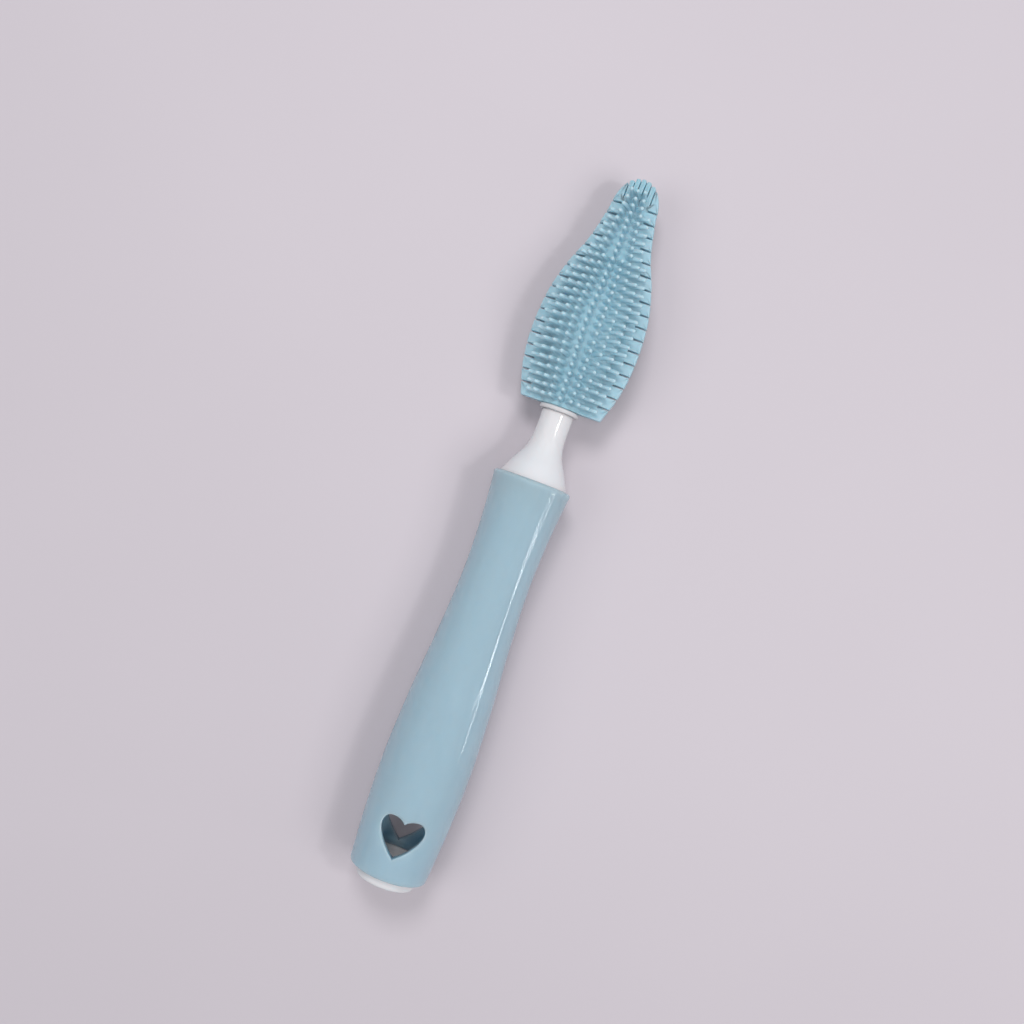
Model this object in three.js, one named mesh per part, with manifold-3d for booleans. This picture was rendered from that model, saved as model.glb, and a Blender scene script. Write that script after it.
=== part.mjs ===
// Pet toothbrush: a hollow barrel-shaped grip, a white stem plugged into it, and a soft double-sided
// brush head on a stiff core. Millimetres, +Z up, the long axis along +Y with the head at the +Y end.
// The brush lies on its grip; the origin is on the surface under the middle of its length.
import * as THREE from "three";
import { mergeGeometries, mergeVertices } from "three/addons/utils/BufferGeometryUtils.js";
import Module from "manifold-3d";

const wasm = await Module();
wasm.setup();

// ---- driving dimensions ------------------------------------------------------------------------
const GAP = 0.25; // between pieces that push together
const ROUND = 32; // segments round a turned piece
const HEAD_ROUND = 16; // segments round the brush head's body

// Heights along the brush start just below the grip's lower rim. Grip: radii of the outside.
const GRIP_START = 0.55; // lower rim
const GRIP_END = 104.5; // upper rim
const GRIP_RADIUS = [
  [0, 9.95], [14.5, 10.9], [29, 11.25], [46, 10.57], [62, 9.37], [78.5, 8.6], [92, 9.02], [104.5, 10.1],
];
const GRIP_BORE = [
  [7, 7.6], [14, 8.9], [29, 9.3], [46, 8.6], [62, 7.45], [78.5, 6.8], [92, 7.2], [104.5, 9.0],
];
const BELLY_RADIUS = 11.25;
const RIM_ROUND = 0.9; // edge rounding at both rims
const RIM_RUN = 1.5; // straight run between a rim's rounding and the barrel's curve
const THROAT_RUN = 0.5; // from the skirt's bore to the start of the grip's wider bore
const GRIP_STEPS = 14;
const BORE_STEPS = 9;

// Heart-shaped hanging hole through both walls, point towards the lower rim.
const HEART_POINT = 6.5;
const HEART_SHOULDER = 14.2; // where it is widest
const HEART_NOTCH = 15.5;
const HEART_TOP = 16.85;
const HEART_HALF_WIDTH = 5.45;
const HEART_LOBE = 3.1; // lobe tops from the middle

// End cap: a disc with a skirt inside the grip.
const CAP_RADIUS = 7.6;
const CAP_END = -2; // outer face of the disc
const CAP_EDGE = 0.9; // rounding of the disc's edge
const CAP_SEAT = 1.8; // the step in the grip that the disc sits on
const CAP_FLOOR = 0.4; // inner face of the disc
const SKIRT_RADIUS = 7.15;
const SKIRT_WALL = 1.2;
const SKIRT_TOP = 5.3;
const SKIRT_CHAMFER = 0.4;

// Stem: plug, flare and neck, with a bore in its end for the tang of the brush head's core.
const PLUG_END = 84;
const PLUG_CHAMFER = 0.5;
const PLUG_TOP = 104.2;
const FLARE = [[104.5, 8.8], [108.1, 7.05], [111.7, 5.1], [114.8, 4.25], [118, 4.06]];
const FLARE_END = 118;
const NECK_RADIUS = 4.06;
const COLLAR_BOTTOM = 122.65;
const COLLAR_THICK = 1.05;
const COLLAR_RADIUS = 5.05;
const COLLAR_EDGE = 0.35; // rounding of the collar's edges
const TANG_RADIUS = 2.4;
const TANG_LENGTH = 12;
const TANG_CHAMFER = 0.5;

// Brush head, heights from its flat lower face.
const HEAD_BOTTOM = 123.95;
const HEAD_LENGTH = 60.8;
const HEAD_ROLL = THREE.MathUtils.degToRad(-9.5); // as it was last pushed on: its face leans towards -X
const FIN_HALF_WIDTH = [[0, 10.6], [8, 13.0], [17, 13.9], [27, 13.25], [35, 11.2], [43, 8.1], [52, 6.0]];
const FIN_NOSE_FROM = 52;
const FIN_TOOTH = 2.9; // radial length of the teeth along both edges
const FIN_HALF_THICK = 1.6; // at the roots of the teeth and inwards
const FIN_EDGE_HALF_THICK = 1.0;
const TOOTH_PITCH = 3.12;
const FIRST_SLIT = 3.33;
const SLIT_COUNT = 17;
const SLIT_WIDTH = 0.4;
const NOSE_SLITS = [-3.5, -2.1, -0.7, 0.7, 2.1, 3.5]; // along the head, between the prongs of its nose
const NOSE_SLIT_WIDTH = 0.3;
const NOSE_SLIT_FROM = 56;
const FIN_STEPS = 20;
const BODY_HALF_WIDTH = [
  [0, 5.7], [8, 7.7], [17, 8.8], [27, 8.2], [35, 6.5], [41, 4.25], [46.5, 3.05], [50, 2.5],
];
const BODY_HALF_THICK = [
  [0, 3.2], [4, 3.35], [8, 4.0], [12.3, 5.4], [16.4, 6.7], [21, 7.3], [25, 6.8], [28, 5.7], [32, 4.2],
  [36, 3.1], [40, 2.0], [46.5, 1.45], [50, 1.35],
];
const NOSE_FROM = 50;
const BODY_END = 57; // the body's own nose, inside the fin
const SKIN = 1.2; // silicone over the core
const CORE_END = 36;
const ROUND_END = 4; // length of an inset body's round end
const OVERLAP = 0.3; // how deep joined shapes of one piece run into each other

// Bristles. A column is [root's distance from the middle as a share of the body's half width, lean
// outwards in degrees, length]; rows follow each other along the body.
const BRISTLE_ROOT_RADIUS = 0.64;
const BRISTLE_TIP_RADIUS = 0.5;
const BRISTLE_SINK = 0.6; // how deep a bristle's root starts inside the body
const BRISTLE_SIDES = 3;
const BRISTLE_FOLLOW = 0.1; // share of the surface's slope along the head that a bristle follows
const WIDE_COLUMNS = [[0, 0, 3.5], [0.277, 21, 3.5], [0.485, 39, 3.5], [0.707, 56, 3.8], [0.891, 67, 4.3]];
const NARROW_COLUMNS = [[0, 0, 3.5], [0.73, 16, 3.5], [0.9, 60, 3.5]];
const FIRST_ROW = 1.85;
const WIDE_ROWS = 18;
const WIDE_PITCH = 2.155;
const NARROW_ROWS = 6;
const NARROW_PITCH = 2.02;
const NOSE_ROWS = [
  { height: 52.5, lean: 3, columns: [[0, 0, 3.5], [0.45, 28, 3.5]] },
  { height: 54.2, lean: 4, columns: [[0, 0, 3.5], [0.92, 4, 3.5]] },
  { height: 56.0, lean: 7, columns: [[0, 0, 3.5], [1.25, 3, 3.5]] },
];

// ---- helpers -----------------------------------------------------------------------------------
// Value of a smooth curve through [position, value] points.
function along(points, x) {
  const last = points.length - 1;
  const at = (i) => points[Math.min(Math.max(i, 0), last)];
  let i = 0;
  while (i < last - 1 && x > points[i + 1][0]) i += 1;
  const slope = (k) => (at(k + 1)[1] - at(k - 1)[1]) / (at(k + 1)[0] - at(k - 1)[0]);
  const step = at(i + 1)[0] - at(i)[0];
  const t = (x - at(i)[0]) / step;
  const t2 = t * t;
  const t3 = t2 * t;
  return (
    (2 * t3 - 3 * t2 + 1) * at(i)[1] +
    (t3 - 2 * t2 + t) * step * slope(i) +
    (3 * t2 - 2 * t3) * at(i + 1)[1] +
    (t3 - t2) * step * slope(i + 1)
  );
}

const lerp = THREE.MathUtils.lerp;
const point = (radius, y) => new THREE.Vector2(radius, y);

// Points along a curve of radius over height, from y0 to y1.
function curvePoints(radiusAt, y0, y1, steps) {
  const points = [];
  for (let i = 0; i <= steps; i += 1) {
    const y = lerp(y0, y1, i / steps);
    points.push(point(radiusAt(y), y));
  }
  return points;
}

// Points of a rounded corner: centre, radius, and the arc's first and last angle in degrees.
function cornerPoints(centreR, centreY, radius, from, to, steps = 3) {
  const points = [];
  for (let i = 0; i <= steps; i += 1) {
    const angle = THREE.MathUtils.degToRad(lerp(from, to, i / steps));
    points.push(point(centreR + radius * Math.cos(angle), centreY + radius * Math.sin(angle)));
  }
  return points;
}

function turned(profile, segments = ROUND) {
  return new THREE.LatheGeometry(profile, segments);
}

function solidOf(geometry) {
  const bare = geometry.clone();
  bare.deleteAttribute("normal");
  bare.deleteAttribute("uv");
  const merged = mergeVertices(bare, 1e-4);
  return new wasm.Manifold(
    new wasm.Mesh({
      numProp: 3,
      vertProperties: merged.attributes.position.array,
      triVerts: new Uint32Array(merged.index.array),
    }),
  );
}

function geometryOf(solid) {
  const mesh = solid.getMesh();
  const geometry = new THREE.BufferGeometry();
  geometry.setAttribute("position", new THREE.BufferAttribute(new Float32Array(mesh.vertProperties), 3));
  geometry.setIndex(new THREE.BufferAttribute(new Uint32Array(mesh.triVerts), 1));
  geometry.computeVertexNormals();
  return geometry;
}

function piece(name, geometry, color, roughness) {
  const material = new THREE.MeshStandardMaterial({ color, roughness, metalness: 0 });
  const mesh = new THREE.Mesh(geometry, material);
  mesh.name = name;
  return mesh;
}

// ---- grip --------------------------------------------------------------------------------------
function heartOutline() {
  const half = HEART_HALF_WIDTH;
  const shape = new THREE.Shape();
  shape.moveTo(0, HEART_POINT);
  shape.bezierCurveTo(0.46 * half, HEART_POINT + 1.9, half, HEART_SHOULDER - 2.6, half, HEART_SHOULDER);
  shape.bezierCurveTo(half, HEART_SHOULDER + 1.5, HEART_LOBE + 1.4, HEART_TOP, HEART_LOBE, HEART_TOP);
  shape.bezierCurveTo(HEART_LOBE - 1.4, HEART_TOP, 0.65, HEART_NOTCH + 0.8, 0, HEART_NOTCH);
  shape.bezierCurveTo(-0.65, HEART_NOTCH + 0.8, 1.4 - HEART_LOBE, HEART_TOP, -HEART_LOBE, HEART_TOP);
  shape.bezierCurveTo(-HEART_LOBE - 1.4, HEART_TOP, -half, HEART_SHOULDER + 1.5, -half, HEART_SHOULDER);
  shape.bezierCurveTo(-half, HEART_SHOULDER - 2.6, -0.46 * half, HEART_POINT + 1.9, 0, HEART_POINT);
  return shape;
}

function gripShell() {
  const outside = (y) => along(GRIP_RADIUS, y);
  const bore = (y) => along(GRIP_BORE, y);
  const seat = CAP_RADIUS + GAP;
  const throat = SKIRT_RADIUS + GAP;
  const lowRim = GRIP_START + RIM_ROUND;
  const highRim = GRIP_END - RIM_ROUND;
  const profile = [
    point(seat, GRIP_START),
    ...cornerPoints(outside(GRIP_START) - RIM_ROUND, lowRim, RIM_ROUND, -90, 0),
    ...curvePoints(outside, lowRim + RIM_RUN, highRim - RIM_RUN, GRIP_STEPS),
    ...cornerPoints(outside(GRIP_END) - RIM_ROUND, highRim, RIM_ROUND, 0, 90),
    ...curvePoints(bore, GRIP_END, GRIP_BORE[0][0], BORE_STEPS),
    point(throat, GRIP_BORE[0][0] - THROAT_RUN),
    point(throat, CAP_SEAT),
    point(seat, CAP_SEAT),
    point(seat, GRIP_START),
  ];
  const tube = solidOf(turned(profile));
  const depth = 4 * BELLY_RADIUS;
  const heart = new THREE.ExtrudeGeometry(heartOutline(), { depth, bevelEnabled: false, curveSegments: 6 });
  heart.translate(0, 0, -depth / 2);
  return geometryOf(tube.subtract(solidOf(heart)));
}

// ---- end cap -----------------------------------------------------------------------------------
function endCap() {
  const shoulder = CAP_SEAT - GAP; // just clear of the step in the grip
  const inside = SKIRT_RADIUS - SKIRT_WALL;
  return turned([
    point(0, CAP_END),
    ...cornerPoints(CAP_RADIUS - CAP_EDGE, CAP_END + CAP_EDGE, CAP_EDGE, -90, 0, 4),
    point(CAP_RADIUS, shoulder),
    point(SKIRT_RADIUS, shoulder),
    point(SKIRT_RADIUS, SKIRT_TOP - SKIRT_CHAMFER),
    point(SKIRT_RADIUS - SKIRT_CHAMFER, SKIRT_TOP),
    point(inside, SKIRT_TOP),
    point(inside, CAP_FLOOR),
    point(0, CAP_FLOOR),
  ]);
}

// ---- stem --------------------------------------------------------------------------------------
function stem() {
  const plug = (y) => along(GRIP_BORE, y) - GAP;
  const neckTop = COLLAR_BOTTOM - GAP;
  const boreEnd = COLLAR_BOTTOM - TANG_LENGTH - GAP;
  const bore = TANG_RADIUS + GAP;
  return turned([
    point(0, PLUG_END),
    point(plug(PLUG_END) - PLUG_CHAMFER, PLUG_END),
    ...curvePoints(plug, PLUG_END + PLUG_CHAMFER, PLUG_TOP, 7),
    ...curvePoints((y) => along(FLARE, y), GRIP_END, FLARE_END, 10),
    point(NECK_RADIUS, neckTop),
    point(bore, neckTop),
    point(bore, boreEnd),
    point(0, boreEnd),
  ]);
}

// ---- brush head --------------------------------------------------------------------------------
// Quarter of a circle from 1 at the first height down to 0 at the second.
const roundEnd = (h, from, to) => Math.sqrt(Math.max(0, 1 - (Math.max(0, h - from) / (to - from)) ** 2));

// Half width of the head with its fin, and of its body without it, at a height above its lower face.
function finHalfWidth(h) {
  return along(FIN_HALF_WIDTH, Math.min(h, FIN_NOSE_FROM)) * roundEnd(h, FIN_NOSE_FROM, HEAD_LENGTH);
}

const noseRound = (h) => roundEnd(h, NOSE_FROM, BODY_END);
const bodyHalfWidth = (h) => along(BODY_HALF_WIDTH, Math.min(h, NOSE_FROM)) * noseRound(h);
const bodyHalfThickness = (h) => along(BODY_HALF_THICK, Math.min(h, NOSE_FROM)) * noseRound(h);

// Half thickness of the fin at a distance from its edge.
const finHalfThick = (inwards) => lerp(FIN_EDGE_HALF_THICK, FIN_HALF_THICK, Math.min(1, inwards / FIN_TOOTH));

// A closed elliptical body from one height to another, with its own half width and half thickness.
function ellipticBody(halfWidth, halfThickness, from, to, steps) {
  const profile = [point(0, from)];
  for (let i = 0; i < steps; i += 1) {
    const h = from + (to - from) * Math.sin((Math.PI / 2) * (i / steps)); // closer together at the nose
    profile.push(point(halfWidth(h), h));
  }
  profile.push(point(0, to));
  const geometry = turned(profile, HEAD_ROUND);
  const place = geometry.attributes.position;
  for (let i = 0; i < place.count; i += 1) {
    const h = place.getY(i);
    const wide = halfWidth(h);
    if (wide > 1e-6) place.setZ(i, (place.getZ(i) * halfThickness(h)) / wide);
  }
  return solidOf(geometry);
}

// A body inset from the head's outer body, closed by a round end.
function insetBody(inset, from, to, steps) {
  const fade = (h) => roundEnd(h, to - ROUND_END, to);
  const wide = (h) => (bodyHalfWidth(Math.max(h, 0)) - inset) * fade(h);
  const thick = (h) => (bodyHalfThickness(Math.max(h, 0)) - inset) * fade(h);
  return ellipticBody(wide, thick, from, to, steps);
}

// A solid through rings of [x, y, z] points, each ring flat and convex, closed by its two end rings.
function loft(rings) {
  const count = rings[0].length;
  const index = [];
  for (let r = 0; r < rings.length - 1; r += 1) {
    for (let k = 0; k < count; k += 1) {
      const [a, b] = [r * count + k, r * count + ((k + 1) % count)];
      index.push(a, a + count, b, b, a + count, b + count);
    }
  }
  const top = (rings.length - 1) * count;
  for (let k = 1; k < count - 1; k += 1) {
    index.push(0, k, k + 1, top, top + k + 1, top + k);
  }
  const geometry = new THREE.BufferGeometry();
  geometry.setAttribute("position", new THREE.BufferAttribute(new Float32Array(rings.flat(2)), 3));
  geometry.setIndex(index);
  return solidOf(geometry);
}

// The fin round both edges and the nose, thinner towards its edge and cut into teeth.
function fin() {
  const rings = [];
  for (let i = 0; i <= FIN_STEPS; i += 1) {
    const h = HEAD_LENGTH * Math.sin((Math.PI / 2) * (i / FIN_STEPS));
    const wide = Math.max(finHalfWidth(h), 0.3);
    const middle = finHalfThick(HEAD_LENGTH - h);
    const root = Math.max(wide - FIN_TOOTH, 0.5 * wide);
    const edge = FIN_EDGE_HALF_THICK;
    const upper = [[wide, edge], [root, middle], [-root, middle], [-wide, edge]];
    const lower = [[-wide, -edge], [-root, -middle], [root, -middle], [wide, -edge]];
    rings.push([...upper, ...lower].map(([x, z]) => [x, h, z]));
  }
  let solid = loft(rings);
  const reach = FIN_TOOTH + 1;
  for (let i = 0; i < SLIT_COUNT; i += 1) {
    const h = FIRST_SLIT + i * TOOTH_PITCH;
    const slits = [1, -1].map((side) => {
      const slit = new THREE.BoxGeometry(reach, SLIT_WIDTH, 4 * FIN_HALF_THICK);
      return slit.translate(side * (finHalfWidth(h) - FIN_TOOTH + reach / 2), h, 0);
    });
    solid = solid.subtract(solidOf(mergeGeometries(slits)));
  }
  const combLength = HEAD_LENGTH + 1 - NOSE_SLIT_FROM;
  const comb = NOSE_SLITS.map((x) => {
    const slit = new THREE.BoxGeometry(NOSE_SLIT_WIDTH, combLength, 4 * FIN_HALF_THICK);
    return slit.translate(x, NOSE_SLIT_FROM + combLength / 2, 0);
  });
  return solid.subtract(solidOf(mergeGeometries(comb)));
}

// One bristle standing on the body or the fin at a height, with its root so far from the middle. Its
// lean outwards is given; along the head it follows part of the surface's slope, plus any extra lean.
// Its length is counted from the surface.
function bristle(h, x, outwards, leanDegrees, length, side) {
  const wide = bodyHalfWidth(h);
  const thick = bodyHalfThickness(h);
  const across = Math.min(Math.abs(x) / wide, 1);
  const z = Math.max(thick * Math.sqrt(1 - across * across), FIN_HALF_THICK);
  const step = 0.5;
  const slope = (bodyHalfThickness(h + step) - bodyHalfThickness(h - step)) / (2 * step);
  const wideSlope = (bodyHalfWidth(h + step) - bodyHalfWidth(h - step)) / (2 * step);
  const normalLean = Math.atan(-lerp(slope, wideSlope, across));
  const lean = BRISTLE_FOLLOW * normalLean + THREE.MathUtils.degToRad(leanDegrees);
  const turn = Math.sign(x) * THREE.MathUtils.degToRad(outwards);
  const out = new THREE.Vector3(Math.sin(turn), 0, side * Math.cos(turn));
  const direction = out.multiplyScalar(Math.cos(lean)).add(new THREE.Vector3(0, Math.sin(lean), 0));
  const full = length + BRISTLE_SINK;
  const rod = new THREE.CylinderGeometry(BRISTLE_TIP_RADIUS, BRISTLE_ROOT_RADIUS, full, BRISTLE_SIDES, 1);
  rod.translate(0, full / 2 - BRISTLE_SINK, 0);
  rod.applyQuaternion(new THREE.Quaternion().setFromUnitVectors(new THREE.Vector3(0, 1, 0), direction));
  return rod.translate(x, h, side * z);
}

function bristleRows() {
  const rows = [];
  let height = FIRST_ROW;
  for (let row = 0; row < WIDE_ROWS + NARROW_ROWS; row += 1) {
    const wide = row < WIDE_ROWS;
    rows.push({ height, lean: 0, columns: wide ? WIDE_COLUMNS : NARROW_COLUMNS });
    height += wide ? WIDE_PITCH : NARROW_PITCH;
  }
  return [...rows, ...NOSE_ROWS];
}

function brushHead() {
  const solids = [ellipticBody(bodyHalfWidth, bodyHalfThickness, 0, BODY_END, 14), fin()];
  for (const { height, lean, columns } of bristleRows()) {
    for (const [share, outwards, length] of columns) {
      const x = share * bodyHalfWidth(height);
      for (const at of x > 0 ? [x, -x] : [0]) {
        for (const side of [1, -1]) solids.push(solidOf(bristle(height, at, outwards, lean, length, side)));
      }
    }
  }
  return geometryOf(wasm.Manifold.union(solids).subtract(insetBody(SKIN, -1, CORE_END + GAP, 8)));
}

// The stiff core inside the head, with the collar that the head sits against and the tang that goes
// down into the neck.
function headCore() {
  const collarTop = COLLAR_BOTTOM + COLLAR_THICK - HEAD_BOTTOM;
  const collarBottom = COLLAR_BOTTOM - HEAD_BOTTOM;
  const collar = turned([
    point(0, collarBottom),
    ...cornerPoints(COLLAR_RADIUS - COLLAR_EDGE, collarBottom + COLLAR_EDGE, COLLAR_EDGE, -90, 0, 2),
    ...cornerPoints(COLLAR_RADIUS - COLLAR_EDGE, collarTop - COLLAR_EDGE, COLLAR_EDGE, 0, 90, 2),
    point(0, collarTop),
  ]);
  const tang = turned([
    point(0, collarBottom - TANG_LENGTH),
    point(TANG_RADIUS - TANG_CHAMFER, collarBottom - TANG_LENGTH),
    point(TANG_RADIUS, collarBottom - TANG_LENGTH + TANG_CHAMFER),
    point(TANG_RADIUS, collarTop),
    point(0, collarTop),
  ]);
  const paddle = insetBody(SKIN + GAP, collarTop - OVERLAP, CORE_END, 8);
  return geometryOf(wasm.Manifold.union([paddle, solidOf(collar), solidOf(tang)]));
}

// ---- assembly ----------------------------------------------------------------------------------
const BLUE = 0x9cb6c5;
const WHITE = 0xdedfe4;
const MILKY = 0xcfcdd0;
const SILICONE = 0x8cb5c7;

const brush = new THREE.Group();
brush.position.set(0, -(CAP_END + HEAD_BOTTOM + HEAD_LENGTH) / 2, BELLY_RADIUS);
brush.add(piece("handle_shell", gripShell(), BLUE, 0.42));
brush.add(piece("end_cap", endCap(), WHITE, 0.35));
brush.add(piece("stem", stem(), WHITE, 0.2));

const head = new THREE.Group();
head.position.y = HEAD_BOTTOM;
head.rotation.y = HEAD_ROLL;
head.add(piece("head_core", headCore(), MILKY, 0.3));
head.add(piece("brush_head", brushHead(), SILICONE, 0.6));
brush.add(head);

const part = new THREE.Group();
part.add(brush);
export default part;
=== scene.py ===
import math
import random

import bmesh
import bpy
from mathutils import Euler, Matrix, Vector

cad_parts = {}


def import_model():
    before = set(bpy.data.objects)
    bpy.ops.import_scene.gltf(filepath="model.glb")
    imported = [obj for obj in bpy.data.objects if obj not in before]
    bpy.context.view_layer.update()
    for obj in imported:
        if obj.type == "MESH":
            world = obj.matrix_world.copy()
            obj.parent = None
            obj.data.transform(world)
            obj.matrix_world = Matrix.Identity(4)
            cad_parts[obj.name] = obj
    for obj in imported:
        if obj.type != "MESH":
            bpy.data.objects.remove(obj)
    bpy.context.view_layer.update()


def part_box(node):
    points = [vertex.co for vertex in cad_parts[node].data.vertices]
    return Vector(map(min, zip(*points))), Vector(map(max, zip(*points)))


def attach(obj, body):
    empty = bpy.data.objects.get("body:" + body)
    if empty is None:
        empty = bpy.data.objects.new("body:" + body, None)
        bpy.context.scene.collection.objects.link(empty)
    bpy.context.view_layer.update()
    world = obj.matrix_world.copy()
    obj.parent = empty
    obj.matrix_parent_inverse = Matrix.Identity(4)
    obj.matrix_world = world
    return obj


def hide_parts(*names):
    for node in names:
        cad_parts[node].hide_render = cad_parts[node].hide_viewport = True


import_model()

MM = 0.001

GRIP_START = 0.55  # height of the grip's lower rim, in millimetres

shell_low, shell_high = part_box("handle_shell")
head_low, head_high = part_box("brush_head")
START_Y = shell_low.y - GRIP_START * MM
AXIS_Z = (shell_low.z + shell_high.z) / 2
TO_ROW = Matrix.Translation((0, START_Y, AXIS_Z)) @ Matrix.Scale(MM, 4)
HEAD_BOTTOM = (head_low.y - START_Y) / MM
HEAD_LENGTH = (head_high.y - head_low.y) / MM
GRIP_END = (shell_high.y - START_Y) / MM
CAP_END = (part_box("end_cap")[0].y - START_Y) / MM

# ---- sizes in millimetres ----------------------------------------------------------------------
GAP = 0.12  # between pieces that push together
ROUND = 160  # columns round the grip, the stem and the cap
SAME_POINT = 0.0002  # vertices closer than this are one
SMALLEST_PIECE = 100  # faces; a union can leave loose slivers that are smaller

# Pairs of (height along the brush, size there), joined by a smooth curve.
GRIP_RADIUS = [
    (0, 9.95),
    (14.5, 10.9),
    (29, 11.25),
    (46, 10.57),
    (62, 9.37),
    (78.5, 8.6),
    (92, 9.02),
    (104.5, 10.1),
]
GRIP_BORE = [(7, 7.6), (14, 8.9), (29, 9.3), (46, 8.6), (62, 7.45), (78.5, 6.8), (92, 7.2), (104.5, 9.0)]
BORE_FROM = 7  # height where the bore's curve starts; below it is the throat for the cap's skirt
THROAT_END = 6.5
RIM_ROUND = 0.9
MOUTH_EDGE = 0.2

HEART_POINT = 6.5
HEART_SHOULDER = 14.2
HEART_NOTCH = 15.5
HEART_TOP = 16.85
HEART_HALF_WIDTH = 5.45
HEART_LOBE = 3.1
HEART_CENTRE = 12.2
HEART_EDGE = 0.34  # rounding of the rim outside
HEART_INNER_EDGE = 0.18
PATCH_ROWS = (4.6, 18.6)  # stretch of the grip that is re-meshed round the heart
PATCH_ROW_COUNT = 29
PATCH_COLUMNS = 21  # each way from the middle

CAP_RADIUS = 7.6
CAP_EDGE = 0.9
CAP_SEAT = 1.8
SKIRT_RADIUS = 7.15
SKIRT_WALL = 1.2
SKIRT_TOP = 5.3

PLUG_END = 84
FLARE = [(104.5, 8.8), (108.1, 7.05), (111.7, 5.1), (114.8, 4.25), (118, 4.06)]
NECK_RADIUS = 4.06
NECK_EDGE = 0.15
NECK_GAP = 0.06  # below the collar
COLLAR_BOTTOM = 122.65
COLLAR_TOP = 123.75
COLLAR_RADIUS = 5.05
TANG_RADIUS = 2.4
TANG_LENGTH = 12

HEAD_ROLL = math.radians(-9.5)
FIN_HALF_WIDTH = [(0, 10.6), (8, 13.0), (17, 13.9), (27, 13.25), (35, 11.2), (43, 8.1), (52, 6.0)]
FIN_NOSE_FROM = 52
FIN_TOOTH = 2.9
FIN_HALF_THICK = 1.6
FIN_EDGE_HALF_THICK = 1.0
TOOTH_PITCH = 3.12
FIRST_SLIT = 3.33
SLIT_COUNT = 17
SLIT_WIDTH = 0.42  # at the teeth's roots
TOOTH_FLARE = 0.08  # how much wider a tooth is at its tip, each way
BODY_HALF_WIDTH = [(0, 5.7), (8, 7.7), (17, 8.8), (27, 8.2), (35, 6.5), (41, 4.25), (46.5, 3.05), (50, 2.5)]
BODY_HALF_THICK = [
    (0, 3.2),
    (4, 3.35),
    (8, 4.0),
    (12.3, 5.4),
    (16.4, 6.7),
    (21, 7.3),
    (25, 6.8),
    (28, 5.7),
    (32, 4.2),
    (36, 3.1),
    (40, 2.0),
    (46.5, 1.45),
    (50, 1.35),
]
NOSE_FROM = 50
BODY_END = 57
SKIN = 1.2
CORE_END = 36

BRISTLE_LENGTH = 3.5  # of most of them
BRISTLE_FOLLOW = 0.1  # share of the surface's slope along the head that a bristle follows
# Columns: root's distance from the middle as a share of the body's half width, lean outwards in degrees,
# length.
WIDE_COLUMNS = [(0, 0, 3.5), (0.277, 21, 3.5), (0.485, 39, 3.5), (0.707, 56, 3.8), (0.891, 67, 4.3)]
NARROW_COLUMNS = [(0, 0, 3.5), (0.73, 16, 3.5), (0.9, 60, 3.5)]
FIRST_ROW = 1.85
WIDE_ROWS = 18
WIDE_PITCH = 2.155
NARROW_ROWS = 6
NARROW_PITCH = 2.02
NOSE_ROWS = [
    (52.5, 3, [(0, 0, 3.5), (0.45, 28, 3.5)]),
    (54.2, 4, [(0, 0, 3.5), (0.92, 4, 3.5)]),
    (56.0, 7, [(0, 0, 3.5), (1.25, 3, 3.5)]),
]
PRONGS = [-2.8, -1.4, 0, 1.4, 2.8]  # teeth that point straight forward from the nose
PRONG_HALF_WIDTH = 0.61
PRONG_FOOT = 52.9
WEB_END = 53.6
LOBE_ROOT = 54.2
BRISTLE_ROOT_RADIUS = 0.6
BRISTLE_TIP_RADIUS = 0.49
BRISTLE_SINK = 0.6  # how far a bristle's foot goes into the body


# ---- helpers -----------------------------------------------------------------------------------
def lerp(a, b, t):
    return a + (b - a) * t


def along(points, x):
    """Value at x of a smooth curve through (position, value) points."""
    last = len(points) - 1
    i = 0
    while i < last - 1 and x > points[i + 1][0]:
        i += 1

    def slope(k):
        before, after = points[max(k - 1, 0)], points[min(k + 1, last)]
        return (after[1] - before[1]) / (after[0] - before[0])

    step = points[i + 1][0] - points[i][0]
    t = (x - points[i][0]) / step
    return (
        (2 * t**3 - 3 * t**2 + 1) * points[i][1]
        + (t**3 - 2 * t**2 + t) * step * slope(i)
        + (3 * t**2 - 2 * t**3) * points[i + 1][1]
        + (t**3 - t**2) * step * slope(i + 1)
    )


def bezier(p0, p1, p2, p3, steps):
    """Points of a cubic Bezier curve without its last one."""
    out = []
    for i in range(steps):
        t = i / steps
        weights = ((1 - t) ** 3, 3 * t * (1 - t) ** 2, 3 * t * t * (1 - t), t**3)
        out.append(Vector((0, 0)))
        for w, p in zip(weights, (p0, p1, p2, p3)):
            out[-1] += w * Vector(p)
    return out


def corner(centre_r, centre_y, radius, start, end, steps=6):
    """Arc of a rounded edge as (radius, height) points, angles in degrees."""
    out = []
    for i in range(steps + 1):
        a = math.radians(lerp(start, end, i / steps))
        out.append((centre_r + radius * math.cos(a), centre_y + radius * math.sin(a)))
    return out


def curve_points(radius_at, y0, y1, steps):
    return [(radius_at(y), y) for y in (lerp(y0, y1, i / steps) for i in range(steps + 1))]


def ellipse_ring(a, b, y, count):
    turns = [2 * math.pi * i / count for i in range(count)]
    return [Vector((a * math.sin(t), y, b * math.cos(t))) for t in turns]


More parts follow.
